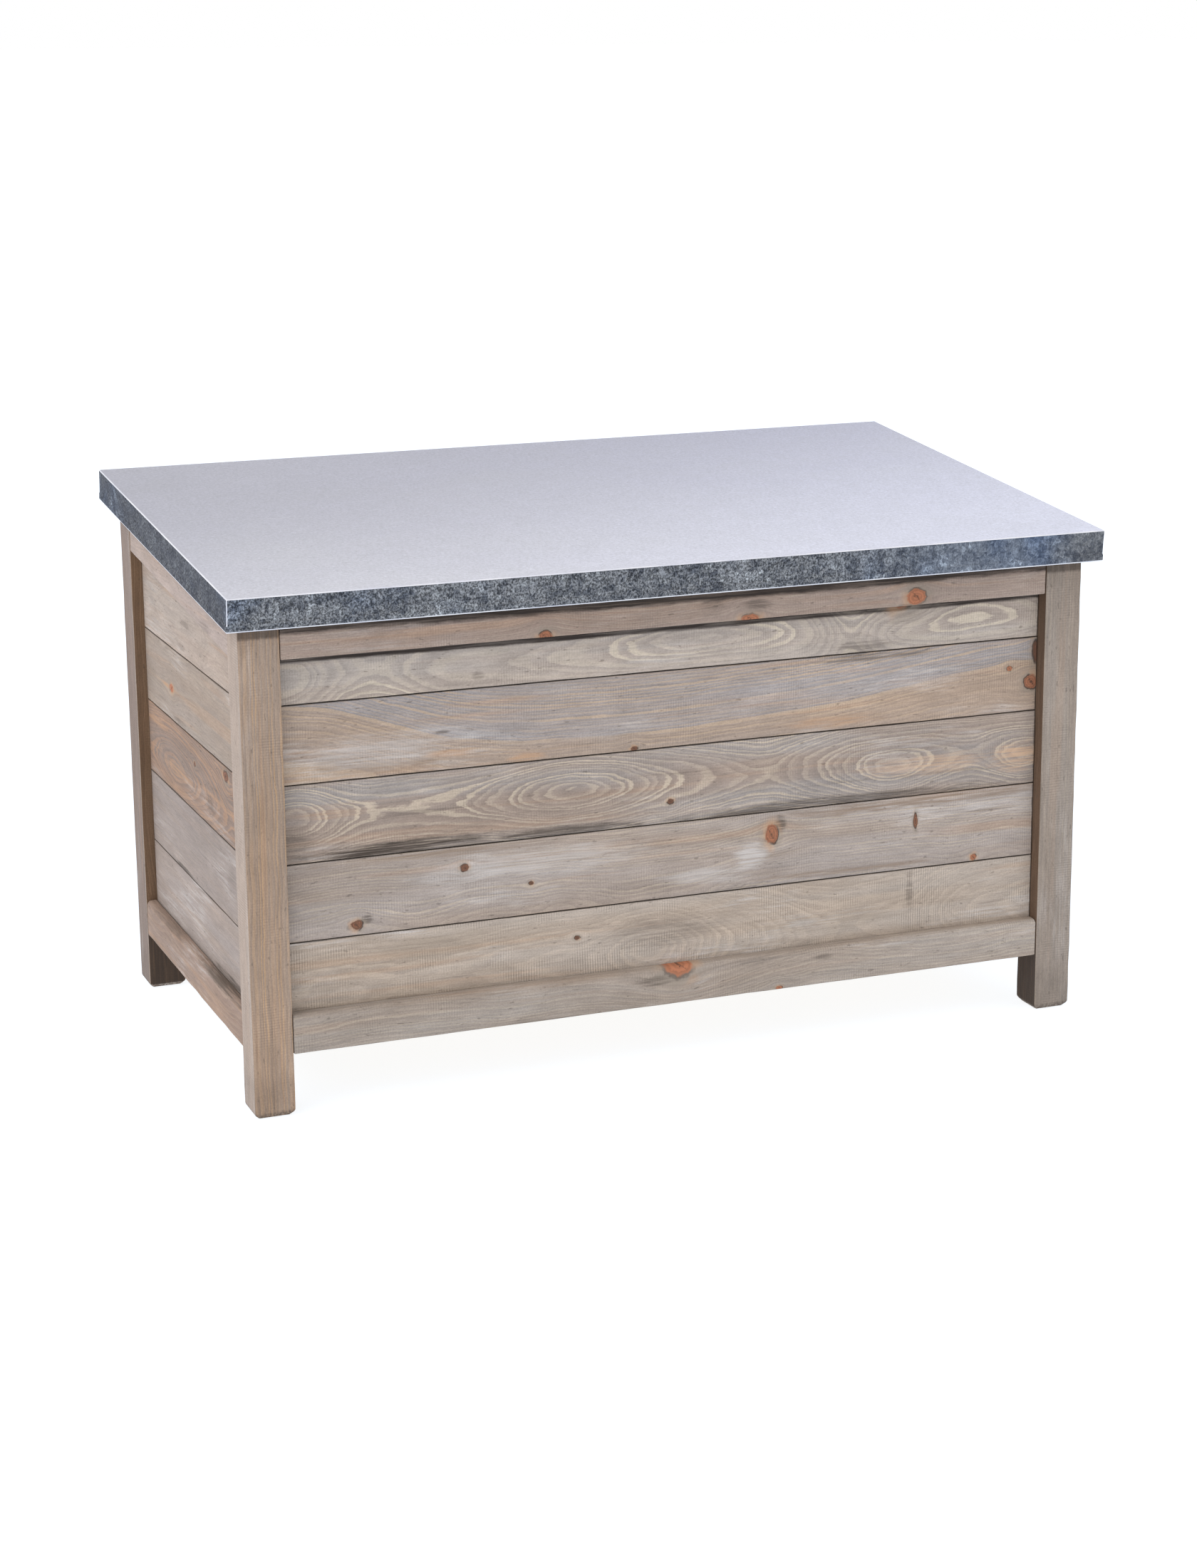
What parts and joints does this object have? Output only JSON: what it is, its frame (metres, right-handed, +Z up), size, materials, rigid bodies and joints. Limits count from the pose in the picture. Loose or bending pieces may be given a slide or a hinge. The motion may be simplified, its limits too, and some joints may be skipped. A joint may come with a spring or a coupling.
{
  "type": "potting bench",
  "caption": "Boarded softwood storage chest on short legs, with a sloping hinged lid clad in sheet zinc as a potting and work surface.",
  "frame": {"origin": "on the ground, under the middle of the bench's bounding box", "axes": "+X to the right along the front, +Y from the front to the hinges at the back, +Z up"},
  "size_m": [1.17, 0.6742, 0.7154],
  "materials": {
    "weathered_pine": "sawn softwood with a thin grey wash, matt",
    "plain_pine": "planed softwood, unfinished",
    "plywood": "softwood plywood, sanded",
    "zinc_sheet": "galvanised sheet with a faint spangle, satin",
    "zinc_plated_steel": "bright zinc plate",
    "black_steel": "black paint, semi-gloss",
    "chromed_rod": "ground and chromed"
  },
  "bodies": {
    "chest": {"back_batten": "plain_pine", "back_board_1": "weathered_pine", "back_board_2": "weathered_pine", "back_board_3": "weathered_pine", "back_board_4": "weathered_pine", "back_board_5": "weathered_pine", "back_bottom_rail": "weathered_pine", "back_top_rail": "weathered_pine", "floor_bearer_back": "plain_pine", "floor_bearer_front": "plain_pine", "floor_panel": "plywood", "front_batten": "plain_pine", "front_board_1": "weathered_pine", "front_board_2": "weathered_pine", "front_board_3": "weathered_pine", "front_board_4": "weathered_pine", "front_board_5": "weathered_pine", "front_bottom_rail": "weathered_pine", "front_top_rail": "weathered_pine", "hinge_left_fixed_leaf": "zinc_plated_steel", "hinge_left_pin": "zinc_plated_steel", "hinge_right_fixed_leaf": "zinc_plated_steel", "hinge_right_pin": "zinc_plated_steel", "left_batten": "plain_pine", "left_board_1": "weathered_pine", "left_board_2": "weathered_pine", "left_board_3": "weathered_pine", "left_board_4": "weathered_pine", "left_board_5": "weathered_pine", "left_bottom_rail": "weathered_pine", "left_top_rail": "weathered_pine", "leg_back_left": "weathered_pine", "leg_back_right": "weathered_pine", "leg_front_left": "weathered_pine", "leg_front_right": "weathered_pine", "right_batten": "plain_pine", "right_board_1": "weathered_pine", "right_board_2": "weathered_pine", "right_board_3": "weathered_pine", "right_board_4": "weathered_pine", "right_board_5": "weathered_pine", "right_bottom_rail": "weathered_pine", "right_top_rail": "weathered_pine", "strut_left_chest_bracket": "zinc_plated_steel", "strut_right_chest_bracket": "zinc_plated_steel"},
    "lid": {"hinge_left_moving_leaf": "zinc_plated_steel", "hinge_right_moving_leaf": "zinc_plated_steel", "lid_batten_back": "plain_pine", "lid_batten_front": "plain_pine", "lid_batten_left": "plain_pine", "lid_batten_right": "plain_pine", "lid_deck": "plywood", "strut_left_lid_bracket": "zinc_plated_steel", "strut_right_lid_bracket": "zinc_plated_steel", "zinc_cover": "zinc_sheet"},
    "strut_cylinder_left": {"strut_left_cylinder": "black_steel"},
    "strut_rod_left": {"strut_left_rod": "chromed_rod"},
    "strut_cylinder_right": {"strut_right_cylinder": "black_steel"},
    "strut_rod_right": {"strut_right_rod": "chromed_rod"}
  },
  "joints": [
    {"name": "lid_hinge", "type": "hinge", "parent": "chest", "child": "lid", "pos_m": [0, 0.30239, 0.6658], "axis": [-1, 0, 0], "range_deg": [0, 80]},
    {"name": "strut_swing_left", "type": "hinge", "parent": "chest", "child": "strut_cylinder_left", "pos_m": [-0.503, 0.21519, 0.39972], "axis": [-1, 0, 0], "range_deg": [0, 40]},
    {"name": "rod_swing_left", "type": "hinge", "parent": "lid", "child": "strut_rod_left", "pos_m": [-0.503, 0.02254, 0.65674], "axis": [-1, 0, 0], "range_deg": [-40, 0]},
    {"name": "strut_swing_right", "type": "hinge", "parent": "chest", "child": "strut_cylinder_right", "pos_m": [0.503, 0.21519, 0.39972], "axis": [-1, 0, 0], "range_deg": [0, 40]},
    {"name": "rod_swing_right", "type": "hinge", "parent": "lid", "child": "strut_rod_right", "pos_m": [0.503, 0.02254, 0.65674], "axis": [-1, 0, 0], "range_deg": [-40, 0]}
  ],
  "couplings": [
    {"joint": "strut_swing_left", "follows": "lid_hinge", "ratio": 0.5},
    {"joint": "rod_swing_left", "follows": "lid_hinge", "ratio": -0.5},
    {"joint": "strut_swing_right", "follows": "lid_hinge", "ratio": 0.5},
    {"joint": "rod_swing_right", "follows": "lid_hinge", "ratio": -0.5}
  ]
}
